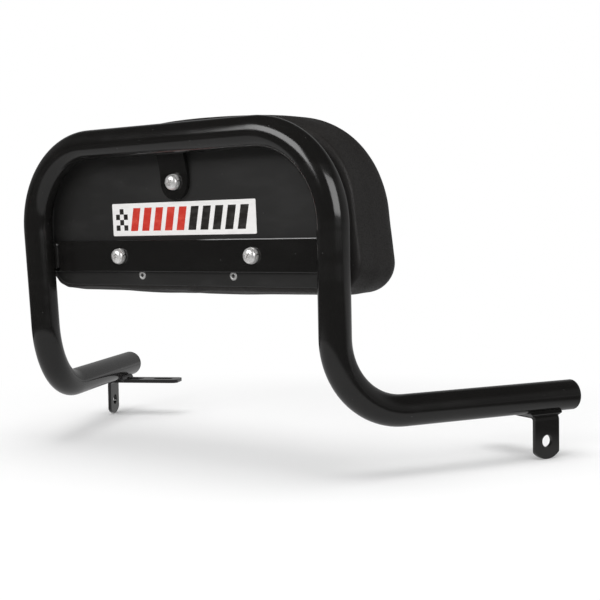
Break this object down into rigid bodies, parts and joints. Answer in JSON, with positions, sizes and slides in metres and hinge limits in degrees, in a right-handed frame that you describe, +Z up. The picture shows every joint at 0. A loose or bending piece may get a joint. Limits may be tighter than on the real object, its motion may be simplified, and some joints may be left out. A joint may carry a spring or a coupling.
{
  "type": "scooter backrest",
  "caption": "Padded backrest on a bent tube hoop with two splayed arms, a cross strip, a lug and a slotted bracket under each arm.",
  "frame": {"origin": "level with the tips of the mounting tabs, in the middle of the part's box in X and Y", "axes": "+X across the seat, +Y forward towards the rider, so the padded side faces +Y, +Z up"},
  "size_m": [0.4726, 0.2058, 0.2523],
  "materials": {
    "frame": "glossy black powder coat",
    "pan": "satin black paint",
    "plug": "moulded black plastic",
    "plywood": "raw plywood",
    "foam": "open-cell foam",
    "cover": "black leatherette with a fine grain",
    "zinc": "bright zinc plate",
    "rivet": "dulled steel",
    "label": "printed film"
  },
  "bodies": {
    "root": {"frame_tube": "frame", "left_end_plug": "plug", "right_end_plug": "plug", "left_bracket": "frame", "right_bracket": "frame", "cross_strip": "frame", "upper_lug": "frame", "back_pan": "pan", "base_board": "plywood", "pad_foam": "foam", "pad_cover": "cover", "left_screw": "zinc", "right_screw": "zinc", "upper_screw": "zinc", "left_washer": "zinc", "right_washer": "zinc", "upper_washer": "zinc", "left_tee_nut": "zinc", "right_tee_nut": "zinc", "upper_tee_nut": "zinc", "left_rivet": "rivet", "right_rivet": "rivet", "label": "label"}
  },
  "joints": []
}
